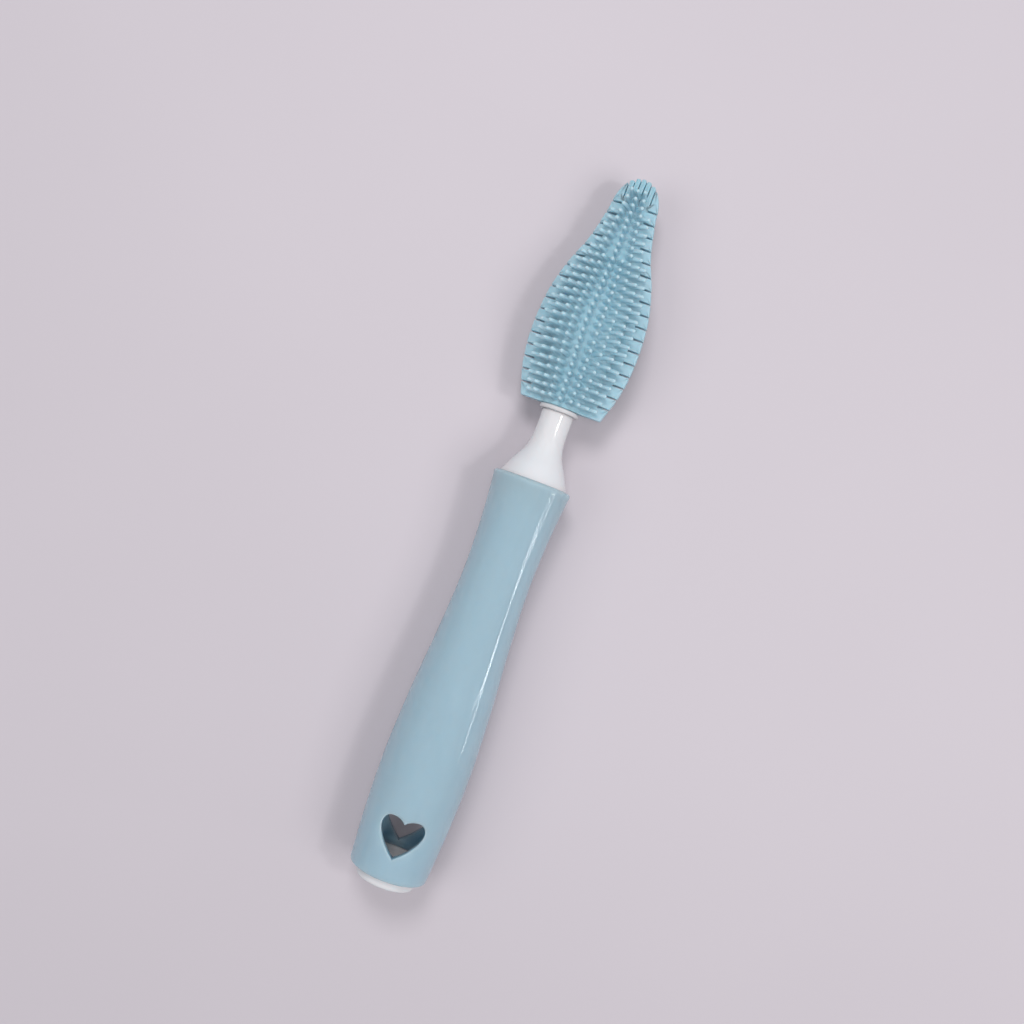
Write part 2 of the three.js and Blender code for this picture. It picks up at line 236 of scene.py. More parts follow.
def skin_rings(rings, verts=None, faces=None, cyclic=False):
    """Quads between rings of equal size; a ring of one point is a pole."""
    verts = [] if verts is None else verts
    faces = [] if faces is None else faces
    starts = []
    for ring in rings:
        starts.append(len(verts))
        verts.extend(ring)
    pairs = list(zip(range(len(rings)), range(1, len(rings))))
    if cyclic:
        pairs.append((len(rings) - 1, 0))
    for i, j in pairs:
        a, b = starts[i], starts[j]
        n = max(len(rings[i]), len(rings[j]))
        for k in range(n):
            m = (k + 1) % n
            if len(rings[i]) == 1:
                faces.append((a, b + m, b + k))
            elif len(rings[j]) == 1:
                faces.append((a + k, a + m, b))
            else:
                faces.append((a + k, a + m, b + m, b + k))
    return verts, faces


def revolve(profile, count=ROUND):
    rings = []
    for r, y in profile:
        rings.append([Vector((0, y, 0))] if r < 1e-6 else ellipse_ring(r, r, y, count))
    return skin_rings(rings, cyclic=profile[0][0] > 1e-6)


def new_object(name, verts, faces, matrix=None):
    mesh = bpy.data.meshes.new(name)
    mesh.from_pydata([tuple(v) for v in verts], [], faces)
    bm = bmesh.new()
    bm.from_mesh(mesh)
    bmesh.ops.recalc_face_normals(bm, faces=bm.faces)
    bm.to_mesh(mesh)
    bm.free()
    if matrix is not None:
        mesh.transform(matrix)
    mesh.shade_smooth()
    obj = bpy.data.objects.new(name, mesh)
    bpy.context.collection.objects.link(obj)
    return obj


def settle(obj, body, node, material, sharp=None):
    """Gives a finished piece its place in the assembly and its material."""
    if sharp is not None:
        obj.data.set_sharp_from_angle(angle=math.radians(sharp))
    obj.data.materials.clear()
    obj.data.materials.append(material)
    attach(obj, body)
    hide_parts(node)


# ---- materials ---------------------------------------------------------------------------------
def node_material(name, base, rough, **sockets):
    """A Principled material with plain socket values; the caller adds the texture nodes."""
    material = bpy.data.materials.new(name)
    material.use_nodes = True
    shader = material.node_tree.nodes["Principled BSDF"]
    shader.inputs["Base Color"].default_value = (*base, 1)
    shader.inputs["Roughness"].default_value = rough
    for socket, value in sockets.items():
        shader.inputs[socket.replace("_", " ")].default_value = value
    return material, material.node_tree, shader


def noise(tree, scale, detail=3.0, rough=0.5, source=None):
    texture = tree.nodes.new("ShaderNodeTexNoise")
    texture.inputs["Scale"].default_value = scale
    texture.inputs["Detail"].default_value = detail
    texture.inputs["Roughness"].default_value = rough
    coordinates = source or tree.nodes.new("ShaderNodeTexCoord").outputs["Object"]
    tree.links.new(coordinates, texture.inputs["Vector"])
    return texture.outputs["Fac"]


def ranged(tree, value, low, high, from_low=0.35, from_high=0.65):
    node = tree.nodes.new("ShaderNodeMapRange")
    node.inputs["From Min"].default_value = from_low
    node.inputs["From Max"].default_value = from_high
    node.inputs["To Min"].default_value = low
    node.inputs["To Max"].default_value = high
    tree.links.new(value, node.inputs["Value"])
    return node.outputs["Result"]


def mixed_colour(tree, factor, first, second):
    node = tree.nodes.new("ShaderNodeMix")
    node.data_type = "RGBA"
    node.inputs["A"].default_value = (*first, 1)
    node.inputs["B"].default_value = (*second, 1)
    tree.links.new(factor, node.inputs["Factor"])
    return node.outputs["Result"]


def bumped(tree, shader, tip_light_mask, distance, strength=1.0):
    bump = tree.nodes.new("ShaderNodeBump")
    bump.inputs["Distance"].default_value = distance
    bump.inputs["Strength"].default_value = strength
    tree.links.new(tip_light_mask, bump.inputs["Height"])
    tree.links.new(bump.outputs["Normal"], shader.inputs["Normal"])


def moulded_plastic(name, base, rough, variation, grain, milkiness):
    """Injection-moulded plastic: faint cloudy tone, uneven gloss from handling, and a fine mould grain."""
    tone = [c * variation for c in base]
    material, tree, shader = node_material(
        name,
        base,
        rough,
        IOR=1.5,
        Subsurface_Weight=milkiness,
        Subsurface_Radius=(0.7, 0.95, 1.0),
        Subsurface_Scale=0.006,
    )
    cloud = noise(tree, 45, detail=2)
    tree.links.new(mixed_colour(tree, cloud, base, tone), shader.inputs["Base Color"])
    smears = noise(tree, 160, detail=6, rough=0.6)
    tree.links.new(ranged(tree, smears, rough * 0.8, rough * 1.25), shader.inputs["Roughness"])
    bumped(tree, shader, noise(tree, 2600, detail=2), grain)
    return material


GRIP_BLUE = (0.345, 0.478, 0.56)
WHITE = (0.7, 0.71, 0.735)
MILKY = (0.6, 0.59, 0.6)
SILICONE = (0.315, 0.505, 0.59)
# tip colour: painted light on the bristle tips and fin edges; the base colour at the roots is painted shade
SILICONE_LIT_TIP = (0.41, 0.56, 0.635)

grip_plastic = moulded_plastic("grip_plastic", GRIP_BLUE, 0.09, 0.95, 0.00000015, 1.0)
white_plastic = moulded_plastic("white_plastic", WHITE, 0.1, 0.97, 0.0000002, 0.5)
milky_plastic = moulded_plastic("milky_plastic", MILKY, 0.35, 0.95, 0.000004, 0.4)


def silicone_material():
    """Soft silicone: light scatters in the thin bristles; the tips and fin edges are painted paler as
    painted light and the roots darker as painted shade, with a random tone on top.
    """
    material, tree, shader = node_material(
        "blue_silicone",
        SILICONE,
        0.42,
        IOR=1.41,
        Subsurface_Weight=0.6,
        Subsurface_Radius=(0.5, 0.9, 1.0),
        Subsurface_Scale=0.002,
    )
    tip_light_mask = tree.nodes.new("ShaderNodeAttribute")
    tip_light_mask.attribute_name = "bristle_height"
    cloud = ranged(tree, noise(tree, 900, detail=3), -0.12, 0.12)
    tip_light_and_tone = tree.nodes.new("ShaderNodeMath")
    tip_light_and_tone.operation = "ADD"
    tip_light_and_tone.use_clamp = True
    tree.links.new(tip_light_mask.outputs["Fac"], tip_light_and_tone.inputs[0])
    tree.links.new(cloud, tip_light_and_tone.inputs[1])
    # painted light: tips and fin edges paler, roots darker as painted shade, plus a random tone
    colour = mixed_colour(tree, tip_light_and_tone.outputs["Value"], SILICONE, SILICONE_LIT_TIP)
    tree.links.new(colour, shader.inputs["Base Color"])
    tree.links.new(ranged(tree, noise(tree, 1500, detail=4), 0.34, 0.52), shader.inputs["Roughness"])
    bumped(tree, shader, noise(tree, 5200, detail=3), 0.00001)
    return material


silicone = silicone_material()


# ---- grip with the heart -----------------------------------------------------------------------
def outside(y):
    return along(GRIP_RADIUS, y)


def inside(y):
    throat = SKIRT_RADIUS + GAP
    if y <= THROAT_END:
        return throat
    if y < BORE_FROM:
        share = (y - THROAT_END) / (BORE_FROM - THROAT_END)
        return lerp(throat, along(GRIP_BORE, BORE_FROM), share)
    return along(GRIP_BORE, y)


def heart_outline():
    """Points and outward normals round the heart, in (x, height), sorted by angle about its centre."""
    half, lobe, top = HEART_HALF_WIDTH, HEART_LOBE, HEART_TOP
    point, shoulder, notch = (0, HEART_POINT), (half, HEART_SHOULDER), (0, HEART_NOTCH)
    right = bezier(point, (0.46 * half, HEART_POINT + 1.9), (half, HEART_SHOULDER - 2.6), shoulder, 60)
    right += bezier(shoulder, (half, HEART_SHOULDER + 1.5), (lobe + 1.4, top), (lobe, top), 40)
    right += bezier((lobe, top), (lobe - 1.4, top), (0.65, HEART_NOTCH + 0.8), notch, 40)
    right.append(Vector(notch))
    left = [Vector((-p.x, p.y)) for p in reversed(right[1:-1])]
    outline = right + left
    count = len(outline)
    out = []
    for i, p in enumerate(outline):
        run = (outline[(i + 1) % count] - outline[i - 1]).normalized()
        out.append((math.atan2(p.y - HEART_CENTRE, p.x), p, Vector((run.y, -run.x))))
    out.sort(key=lambda item: item[0])
    return out


def heart_at(outline, angle):
    """Point and normal of the heart where a ray from its centre leaves it."""
    count = len(outline)
    for i in range(count):
        a0, p0, n0 = outline[i - 1]
        a1, p1, n1 = outline[i]
        span = (a1 - a0) % (2 * math.pi)
        offset = (angle - a0) % (2 * math.pi)
        if offset <= span + 1e-9:
            t = offset / max(span, 1e-9)
            return p0.lerp(p1, t), n0.lerp(n1, t).normalized()
    return outline[0][1], outline[0][2]


def pushed(point, normal, distance):
    """The point moved out of the heart, kept on its own side of the middle."""
    moved = point + normal * distance
    if point.x > 0:
        moved.x = max(moved.x, 0.25 * point.x)
    elif point.x < 0:
        moved.x = min(moved.x, 0.25 * point.x)
    return moved


def surface_point(radius_at, flat, side, depth=0.0):
    """A point of the grip's wall over (x, height), on its upper side (+1) or lower side (-1)."""
    z = math.sqrt(max(radius_at(flat.y) ** 2 - flat.x**2, 0)) - depth
    return Vector((flat.x, flat.y, side * z))


def heart_tunnel(outline, outer_loop, inner_loop, side):
    """Rings from the outer surface's loop, over the rounded rim and through the wall, to the inner loop."""
    matches = [heart_at(outline, math.atan2(v.y - HEART_CENTRE, v.x)) for v in outer_loop]
    rings = []
    for k in range(1, 8):
        t = 1 - (1 - k / 8) ** 1.5
        ring = []
        for v, (p, n) in zip(outer_loop, matches):
            flat = Vector((v.x, v.y)).lerp(pushed(p, n, HEART_EDGE), t)
            ring.append(surface_point(outside, flat, side))
        rings.append(ring)
    for step in range(0, 5):
        a = math.radians(90 * step / 4)
        out, down = HEART_EDGE * (1 - math.sin(a)), HEART_EDGE * (1 - math.cos(a))
        rings.append([surface_point(outside, pushed(p, n, out), side, down) for p, n in matches])
    for t in (0.25, 0.5, 0.75):
        ring = []
        for p, n in matches:
            top = surface_point(outside, p, side, HEART_EDGE)
            bottom = surface_point(inside, p, side, -HEART_INNER_EDGE)
            ring.append(top.lerp(bottom, t))
        rings.append(ring)
    for step in range(0, 4):
        a = math.radians(90 * step / 3)
        out, up = HEART_INNER_EDGE * (1 - math.cos(a)), HEART_INNER_EDGE * (1 - math.sin(a))
        rings.append([surface_point(inside, pushed(p, n, out), side, -up) for p, n in matches])
    for k in range(1, 7):
        ring = []
        for v, (p, n) in zip(inner_loop, matches):
            flat = pushed(p, n, HEART_INNER_EDGE).lerp(Vector((v.x, v.y)), k / 7)
            ring.append(surface_point(inside, flat, side))
        rings.append(ring)
    return rings


def grip_shell():
    low, high = PATCH_ROWS
    patch = [lerp(low, high, i / (PATCH_ROW_COUNT - 1)) for i in range(PATCH_ROW_COUNT)]
    seat = CAP_RADIUS + GAP
    rim = outside(GRIP_START) - RIM_ROUND
    top_rim = outside(GRIP_END) - RIM_ROUND
    outer = corner(rim, GRIP_START + RIM_ROUND, RIM_ROUND, -90, 0)
    outer += [(outside(y), y) for y in (2.0, 2.6, 3.2, 3.9)]
    first_outer = len(outer)
    outer += [(outside(y), y) for y in patch]
    outer += curve_points(outside, high + 1.2, GRIP_END - RIM_ROUND - 1.0, 62)
    outer += corner(top_rim, GRIP_END - RIM_ROUND, RIM_ROUND, 0, 90)
    mouth = along(GRIP_BORE, GRIP_END)
    inner = corner(mouth + MOUTH_EDGE, GRIP_END - MOUTH_EDGE, MOUTH_EDGE, 90, 180, 3)
    if math.dist(inner[0], outer[-1]) < SAME_POINT:
        inner.pop(0)
    inner += curve_points(inside, GRIP_END - 1.2, high + 1.2, 50)
    first_inner = len(outer) + len(inner)
    inner += [(inside(y), y) for y in reversed(patch)]
    inner += [(inside(y), y) for y in (3.8, 2.8, CAP_SEAT + 0.1, CAP_SEAT)]
    inner += [(seat - 0.1, CAP_SEAT), (seat, CAP_SEAT - 0.1), (seat, 1.2), (seat, GRIP_START + 0.12)]
    inner += [(seat + 0.12, GRIP_START)]
    profile = outer + inner
    verts = []
    for r, y in profile:
        verts.extend(ellipse_ring(r, r, y, ROUND))

    def vertex(row, column):
        return row * ROUND + column % ROUND

    def outer_row(i):
        return first_outer + i

    def inner_row(i):
        return first_inner + PATCH_ROW_COUNT - 1 - i

    def in_patch(row, column):
        for centre in (0, ROUND // 2):
            away = abs((column + 0.5 - centre + ROUND / 2) % ROUND - ROUND / 2)
            if away < PATCH_COLUMNS:
                break
        else:
            return False
        steps = PATCH_ROW_COUNT - 1
        return any(first <= row < first + steps for first in (first_outer, first_inner))

    faces = []
    for row in range(len(profile)):
        after = (row + 1) % len(profile)
        for column in range(ROUND):
            if not in_patch(row, column):
                here, beside = vertex(row, column), vertex(row, column + 1)
                faces.append((here, beside, vertex(after, column + 1), vertex(after, column)))

    outline = heart_outline()
    last = PATCH_ROW_COUNT - 1
    for centre, side in ((0, 1), (ROUND // 2, -1)):
        loop = [(c, 0) for c in range(-PATCH_COLUMNS, PATCH_COLUMNS + 1)]
        loop += [(PATCH_COLUMNS, r) for r in range(1, last + 1)]
        loop += [(c, last) for c in range(PATCH_COLUMNS - 1, -PATCH_COLUMNS - 1, -1)]
        loop += [(-PATCH_COLUMNS, r) for r in range(last - 1, 0, -1)]
        outer_ids = [vertex(outer_row(r), centre + c) for c, r in loop]
        inner_ids = [vertex(inner_row(r), centre + c) for c, r in loop]
        rings = heart_tunnel(outline, [verts[i] for i in outer_ids], [verts[i] for i in inner_ids], side)
        ids = [outer_ids]
        for ring in rings:
            ids.append(list(range(len(verts), len(verts) + len(ring))))
            verts.extend(ring)
        ids.append(inner_ids)
        for a, b in zip(ids, ids[1:]):
            for k in range(len(a)):
                m = (k + 1) % len(a)
                faces.append((a[k], a[m], b[m], b[k]))
    return new_object("grip_shell", verts, faces, TO_ROW)


# ---- end cap, stem, core -----------------------------------------------------------------------
def end_cap():
    disc = CAP_SEAT - GAP
    wall = SKIRT_RADIUS - SKIRT_WALL
    profile = [(0, CAP_END), (3, CAP_END), (5.5, CAP_END)]
    profile += corner(CAP_RADIUS - CAP_EDGE, CAP_EDGE + CAP_END, CAP_EDGE, -90, 0, 8)
    profile += [(CAP_RADIUS, y) for y in (-0.5, 0.4, disc - 0.15)]
    profile += [(CAP_RADIUS - 0.15, disc), (SKIRT_RADIUS + 0.1, disc)]
    profile += [(SKIRT_RADIUS, disc + 0.15), (SKIRT_RADIUS, 3), (SKIRT_RADIUS, SKIRT_TOP - 0.35)]
    profile += corner(SKIRT_RADIUS - 0.3, SKIRT_TOP - 0.3, 0.3, 20, 90, 4)
    profile += corner(wall + 0.2, SKIRT_TOP - 0.2, 0.2, 90, 180, 3)
    profile += [(wall, 3), (wall, 0.9), (wall - 0.15, 0.5), (wall - 0.5, 0.4), (3, 0.4), (0, 0.4)]
    return new_object("end_plug", *revolve(profile), TO_ROW)


def stem():
    def plug(y):
        return along(GRIP_BORE, y) - GAP

    neck_top = COLLAR_BOTTOM - NECK_GAP
    bore = TANG_RADIUS + GAP
    bore_end = COLLAR_BOTTOM - TANG_LENGTH - GAP
    profile = [(0, PLUG_END), (4, PLUG_END)] + corner(plug(PLUG_END) - 0.5, PLUG_END + 0.5, 0.5, -90, 0, 5)
    profile += curve_points(plug, PLUG_END + 1.2, GRIP_END - 0.35, 16)
    profile += curve_points(lambda y: along(FLARE, y), GRIP_END, 118, 34)
    profile += [(NECK_RADIUS, y) for y in (119, 120.5, 122, neck_top - NECK_EDGE)]
    profile += [(NECK_RADIUS - NECK_EDGE, neck_top), (3.3, neck_top)]
    profile += [(bore + NECK_EDGE, neck_top), (bore, neck_top - NECK_EDGE)]
    profile += [(bore, y) for y in (120, 117, 114, bore_end + 0.2)]
    profile += [(bore - 0.2, bore_end), (1, bore_end), (0, bore_end)]
    return new_object("neck_stem", *revolve(profile), TO_ROW)


def fin_half_width(h):
    if h <= FIN_NOSE_FROM:
        return along(FIN_HALF_WIDTH, h)
    t = (h - FIN_NOSE_FROM) / (HEAD_LENGTH - FIN_NOSE_FROM)
    return along(FIN_HALF_WIDTH, FIN_NOSE_FROM) * math.sqrt(max(0, 1 - t * t))


def nose_round(h):
    t = max(0, h - NOSE_FROM) / (BODY_END - NOSE_FROM)
    return math.sqrt(max(0, 1 - t * t))


def body_half_width(h):
    return along(BODY_HALF_WIDTH, min(h, NOSE_FROM)) * nose_round(h)


def body_half_thickness(h):
    return along(BODY_HALF_THICK, min(h, NOSE_FROM)) * nose_round(h)


def fin_half_thick(x, h):
    """Half thickness of the fin at a point: thinner towards its edge and its nose."""
    inwards = min(fin_half_width(h) - abs(x), 0.9 * (HEAD_LENGTH - h))
    return lerp(FIN_EDGE_HALF_THICK, FIN_HALF_THICK, min(1, max(0, inwards) / FIN_TOOTH))


TO_HEAD = TO_ROW @ Matrix.Translation((0, HEAD_BOTTOM, 0)) @ Matrix.Rotation(HEAD_ROLL, 4, "Y")
HEAD_ROUND = 96


def head_heights(start, end, count):
    """Heights that close up towards the round end."""
    return [start + (end - start) * math.sin(math.pi / 2 * i / count) for i in range(count)]


def inset_rings(inset, start, end, count, segments):
    """Elliptical rings inset from the head's body, closed by a round end."""
    rings = []
    for h in head_heights(start, end, count):
        t = max(0, (h - (end - 4)) / 4)
        fade = math.sqrt(max(0, 1 - t * t))
        a = (body_half_width(max(h, 0)) - inset) * fade
        b = (body_half_thickness(max(h, 0)) - inset) * fade
        rings.append(ellipse_ring(a, b, h, segments))
    rings.append([Vector((0, end, 0))])
    return rings


def head_core():
    bottom = COLLAR_BOTTOM - HEAD_BOTTOM
    top = COLLAR_TOP - HEAD_BOTTOM
    tang_end = bottom - TANG_LENGTH
    edge = 0.42
    collar = [(0, tang_end)] + corner(TANG_RADIUS - 0.4, tang_end + 0.4, 0.4, -90, 0, 4)
    collar += [(TANG_RADIUS, lerp(tang_end, bottom, t)) for t in (0.25, 0.5, 0.75, 0.98)]
    collar += [(TANG_RADIUS + 0.2, bottom), (3.6, bottom)]
    collar += corner(COLLAR_RADIUS - edge, bottom + edge, edge, -90, 0, 6)
    collar += corner(COLLAR_RADIUS - edge, top - edge, edge, 0, 90, 6)
    rings = []
    for r, y in collar:
        rings.append([Vector((0, y, 0))] if r < 1e-6 else ellipse_ring(r, r, y, HEAD_ROUND))
    wide = body_half_width(0) - SKIN - GAP
    thick = body_half_thickness(0) - SKIN - GAP
    rings.append(ellipse_ring(wide, thick, top, HEAD_ROUND))
    rings += inset_rings(SKIN + GAP, 0.3, CORE_END, 26, HEAD_ROUND)
    return new_object("core_paddle", *skin_rings(rings), TO_HEAD)


# ---- silicone head -----------------------------------------------------------------------------
def head_body():
    """The sleeve: flat lower face, elliptical body, round nose, and the hollow that the core fills."""
    edge = 0.22
    rings = []
    wide, thick = body_half_width(0), body_half_thickness(0)
    for k in range(5):
        a = math.radians(90 * k / 4)
        inset, up = edge * (1 - math.sin(a)), edge * (1 - math.cos(a))
        rings.append(ellipse_ring(wide - inset, thick - inset, up, HEAD_ROUND))
    for h in head_heights(0.6, BODY_END, 110):
        rings.append(ellipse_ring(body_half_width(h), body_half_thickness(h), h, HEAD_ROUND))
    rings.append([Vector((0, BODY_END, 0))])
    socket = inset_rings(SKIN, 0, CORE_END + GAP, 24, HEAD_ROUND)
    return skin_rings(list(reversed(socket)) + rings)


def plate(outline, rounding, steps=3):
    """A flat tooth over a closed outline in (x, height), as thick as the fin there, with rounded edges."""
    count = len(outline)
    centre = sum((Vector(p) for p in outline), Vector((0, 0))) / count
    normals = []
    for i in range(count):
        run = (Vector(outline[(i + 1) % count]) - Vector(outline[i - 1])).normalized()
        normal = Vector((run.y, -run.x))
        if normal.dot(Vector(outline[i]) - centre) < 0:
            normal = -normal
        normals.append(normal)
    levels = []
    for k in range(steps + 1):
        a = math.radians(90 * k / steps)
        levels.append((rounding * (1 - math.sin(a)), rounding * (1 - math.cos(a))))
    rings = []
    for side, order in ((-1, levels), (1, list(reversed(levels)))):
        for inset, rise in order:
            ring = []
            for p, n in zip(outline, normals):
                flat = Vector(p) - n * inset
                ring.append(Vector((flat.x, flat.y, side * (fin_half_thick(flat.x, flat.y) - rise))))
            rings.append(ring)
    first = [Vector((centre.x, centre.y, -fin_half_thick(centre.x, centre.y)))]
    final = [Vector((centre.x, centre.y, fin_half_thick(centre.x, centre.y)))]
    return skin_rings([first] + rings + [final])


def rounded_outline(corners, radius, steps=3):
    """A closed outline through corner points, with each corner turned into a short curve."""
    count = len(corners)
    out = []
    for i in range(count):
        here = Vector(corners[i])
        before = Vector(corners[i - 1]) - here
        after = Vector(corners[(i + 1) % count]) - here
        reach = min(radius, before.length * 0.45, after.length * 0.45)
        start, end = here + before.normalized() * reach, here + after.normalized() * reach
        for k in range(steps + 1):
            t = k / steps
            out.append(start.lerp(here, t).lerp(here.lerp(end, t), t))
    return out


def tooth(side, low, high):
    """One tooth of the fin, from inside the web to the fin's edge."""
    heights = [lerp(low - TOOTH_FLARE, high + TOOTH_FLARE, i / 5) for i in range(6)]
    heights[0] = max(heights[0], 0)
    outline = [(side * fin_half_width(h), h) for h in heights]
    for share in (0.25, 0.5, 0.75):
        outline.append((side * (fin_half_width(high) - share * FIN_TOOTH), high))
    outline += [(side * (fin_half_width(h) - FIN_TOOTH - 0.5), h) for h in (high, lerp(low, high, 0.5), low)]
    for share in (0.75, 0.5, 0.25):
        outline.append((side * (fin_half_width(low) - share * FIN_TOOTH), low))
    return plate(rounded_outline(outline, 0.32), 0.28)


def side_lobe(side):
    """The broad smooth tooth beside the nose."""
    low = FIRST_SLIT + (SLIT_COUNT - 1) * TOOTH_PITCH + SLIT_WIDTH / 2
    inner, root = 3.6, 2.9
    steps = 12
    top = low
    while fin_half_width(top) > inner + 0.2:
        top += 0.05
    outline = [(side * fin_half_width(h), h) for h in (lerp(low, top, i / steps) for i in range(steps + 1))]
    outline += [(side * inner, lerp(top, LOBE_ROOT, t)) for t in (0.35, 0.7)]
    outline.append((side * inner, LOBE_ROOT))
    outline += [(side * root, WEB_END), (side * root, low), (side * 4.4, low)]
    return plate(rounded_outline(outline, 0.3), 0.3)


def prong(x):
    """One of the thin flat teeth of the nose."""
    t = x / along(FIN_HALF_WIDTH, FIN_NOSE_FROM)
    tip = FIN_NOSE_FROM + (HEAD_LENGTH - FIN_NOSE_FROM) * math.sqrt(1 - t * t) - 0.1
    shoulder = tip - 0.35
    half = PRONG_HALF_WIDTH
    low_side = [(x + half, lerp(PRONG_FOOT, shoulder, i / 6)) for i in range(7)]
    high_side = [(x - half, lerp(shoulder, PRONG_FOOT, i / 6)) for i in range(7)]
    outline = low_side + [(x + 0.4, tip - 0.06), (x, tip), (x - 0.4, tip - 0.06)] + high_side
    return plate(rounded_outline(outline, 0.2, 2), 0.3)


def web():
    """The continuous inner part of the fin, up to the roots of the teeth."""
    heights = [lerp(0.0, WEB_END, i / 60) for i in range(61)]
    right = [(fin_half_width(h) - FIN_TOOTH, h) for h in heights]
    left = [(-x, h) for x, h in reversed(right)]
    rows = []
    for (x0, h0), (x1, _) in zip(right, reversed(left)):
        count = 12
        rows.append([Vector((lerp(x1, x0, k / count), h0, 0)) for k in range(count + 1)])
    rings = []
    for row in rows:
        upper = [v + Vector((0, 0, fin_half_thick(v.x, v.y))) for v in row]
        lower = [v - Vector((0, 0, fin_half_thick(v.x, v.y))) for v in reversed(row)]
        rings.append(upper + lower)
    first = [Vector((0, 0.0, 0))]
    final = [Vector((0, WEB_END, 0))]
    return skin_rings([first] + rings + [final])


def rod(length, root_radius, tip_radius, sink, segments=12):
    """A tapered bristle along +Y with a flared foot and a round tip."""
    flare = [(0.3, -sink), (0.26, -0.05), (0.12, 0.14), (0.03, 0.36)]
    profile = [(root_radius + wider, y) for wider, y in flare]
    shaft_end = length - tip_radius
    for t in (0, 0.35, 0.7, 1):
        profile.append((lerp(root_radius, tip_radius, t), lerp(0.62, shaft_end, t)))
    for k in range(1, 4):
        a = math.radians(90 * k / 4)
        profile.append((tip_radius * math.cos(a), shaft_end + tip_radius * math.sin(a)))
    rings = [[Vector((0, -sink, 0))]] + [ellipse_ring(r, r, y, segments) for r, y in profile]
    rings.append([Vector((0, length, 0))])
    return skin_rings(rings)


def bristle_matrix(h, x, outwards, lean_degrees, side, wobble):
    """Place of one bristle on the body or the fin, leaning outwards and part of the way along the head."""
    wide, thick = body_half_width(h), body_half_thickness(h)
    across = min(abs(x) / wide, 1)
    z = max(thick * math.sqrt(1 - across * across), FIN_HALF_THICK)
    step = 0.5
    slope = (body_half_thickness(h + step) - body_half_thickness(h - step)) / (2 * step)
    wide_slope = (body_half_width(h + step) - body_half_width(h - step)) / (2 * step)
    follow = BRISTLE_FOLLOW * math.atan(-lerp(slope, wide_slope, across))
    lean = follow + math.radians(lean_degrees) + wobble[0]
    turn = math.copysign(math.radians(outwards), x) + wobble[1]
    flat = math.cos(lean)
    direction = Vector((math.sin(turn) * flat, math.sin(lean), side * math.cos(turn) * flat))
    rotation = Vector((0, 1, 0)).rotation_difference(direction).to_matrix().to_4x4()
    return Matrix.Translation((x, h, side * z)) @ rotation


def bristle_rows():
    rows = []
    tip_light_mask = FIRST_ROW
    for row in range(WIDE_ROWS + NARROW_ROWS):
        wide = row < WIDE_ROWS
        rows.append((tip_light_mask, 0, WIDE_COLUMNS if wide else NARROW_COLUMNS))
        tip_light_mask += WIDE_PITCH if wide else NARROW_PITCH
    return rows + NOSE_ROWS


def append_part(verts, faces, part, matrix=None):
    start = len(verts)
    for v in part[0]:
        verts.append(matrix @ v if matrix is not None else v)
    faces.extend(tuple(start + i for i in face) for face in part[1])


def bristle_groups():
    """Bristles in four groups, by odd and even rows and columns, so that no two in a group touch."""
    draw = random.Random(11)
    groups = [([], []) for _ in range(4)]
    for row, (tip_light_mask, lean, columns) in enumerate(bristle_rows()):
        for column, (share, outwards, full) in enumerate(columns):
            x = share * body_half_width(tip_light_mask)
            for at in ((x, -x) if x > 0 else (0,)):
                for side in (1, -1):
                    wobble = (math.radians(draw.gauss(0, 1.2)), math.radians(draw.gauss(0, 1.2)))
                    length = full * draw.uniform(0.985, 1.0)
                    matrix = bristle_matrix(tip_light_mask, at, outwards, lean, side, wobble)
                    group = groups[2 * (row % 2) + column % 2]
                    bristle = rod(length, BRISTLE_ROOT_RADIUS, BRISTLE_TIP_RADIUS, BRISTLE_SINK)
                    append_part(*group, bristle, matrix)
    return groups


def fin_groups():
    """The web, the teeth of both edges, and the teeth of the nose."""
    teeth = ([], [])
    slits = [FIRST_SLIT + i * TOOTH_PITCH for i in range(SLIT_COUNT)]
    lows = [0.0] + [h + SLIT_WIDTH / 2 for h in slits[:-1]]
    highs = [h - SLIT_WIDTH / 2 for h in slits]
    for side in (1, -1):
        for low, high in zip(lows, highs):
            append_part(*teeth, tooth(side, low, high))
    nose = ([], [])
    for side in (1, -1):
        append_part(*nose, side_lobe(side))
    for x in PRONGS:
        append_part(*nose, prong(x))
    return web(), teeth, nose


def islands(bm):
    """The connected groups of faces of a mesh."""
    left = set(bm.faces)
    groups = []
    while left:
        group = [left.pop()]
        for face in group:
            for edge in face.edges:
                for other in edge.link_faces:
                    if other in left:
                        left.remove(other)
                        group.append(other)
        groups.append(group)
    return groups


def drop_flaps(bm):
    """Removes faces that hang from the skin by an over-shared edge, with an open edge on another side."""
    while True:
        open_faces = {edge.link_faces[0] for edge in bm.edges if len(edge.link_faces) == 1}
        flaps = [face for face in open_faces if any(len(edge.link_faces) > 2 for edge in face.edges)]
        if not flaps:
            return
        bmesh.ops.delete(bm, geom=flaps, context="FACES")


def clean(mesh):
    """Closes up the edges of no length that a union leaves, and drops its loose slivers."""
    bm = bmesh.new()
    bm.from_mesh(mesh)
    bmesh.ops.triangulate(bm, faces=bm.faces)
    slivers = [face for group in islands(bm) if len(group) < SMALLEST_PIECE for face in group]
    bmesh.ops.delete(bm, geom=slivers, context="FACES")
    bmesh.ops.dissolve_degenerate(bm, dist=SAME_POINT, edges=bm.edges)
    drop_flaps(bm)
    bm.to_mesh(mesh)
    bm.free()


def joined(base, others):
    """The base object with the others merged into one skin."""
    for other in others:
        union = base.modifiers.new("union", "BOOLEAN")
        union.operation = "UNION"
        union.solver = "MANIFOLD"
        union.object = other
    depsgraph = bpy.context.evaluated_depsgraph_get()
    mesh = bpy.data.meshes.new_from_object(base.evaluated_get(depsgraph))
    base.modifiers.clear()
    clean(mesh)
    base.data = mesh
    for other in others:
        bpy.data.objects.remove(other)
    mesh.shade_smooth()
    return base


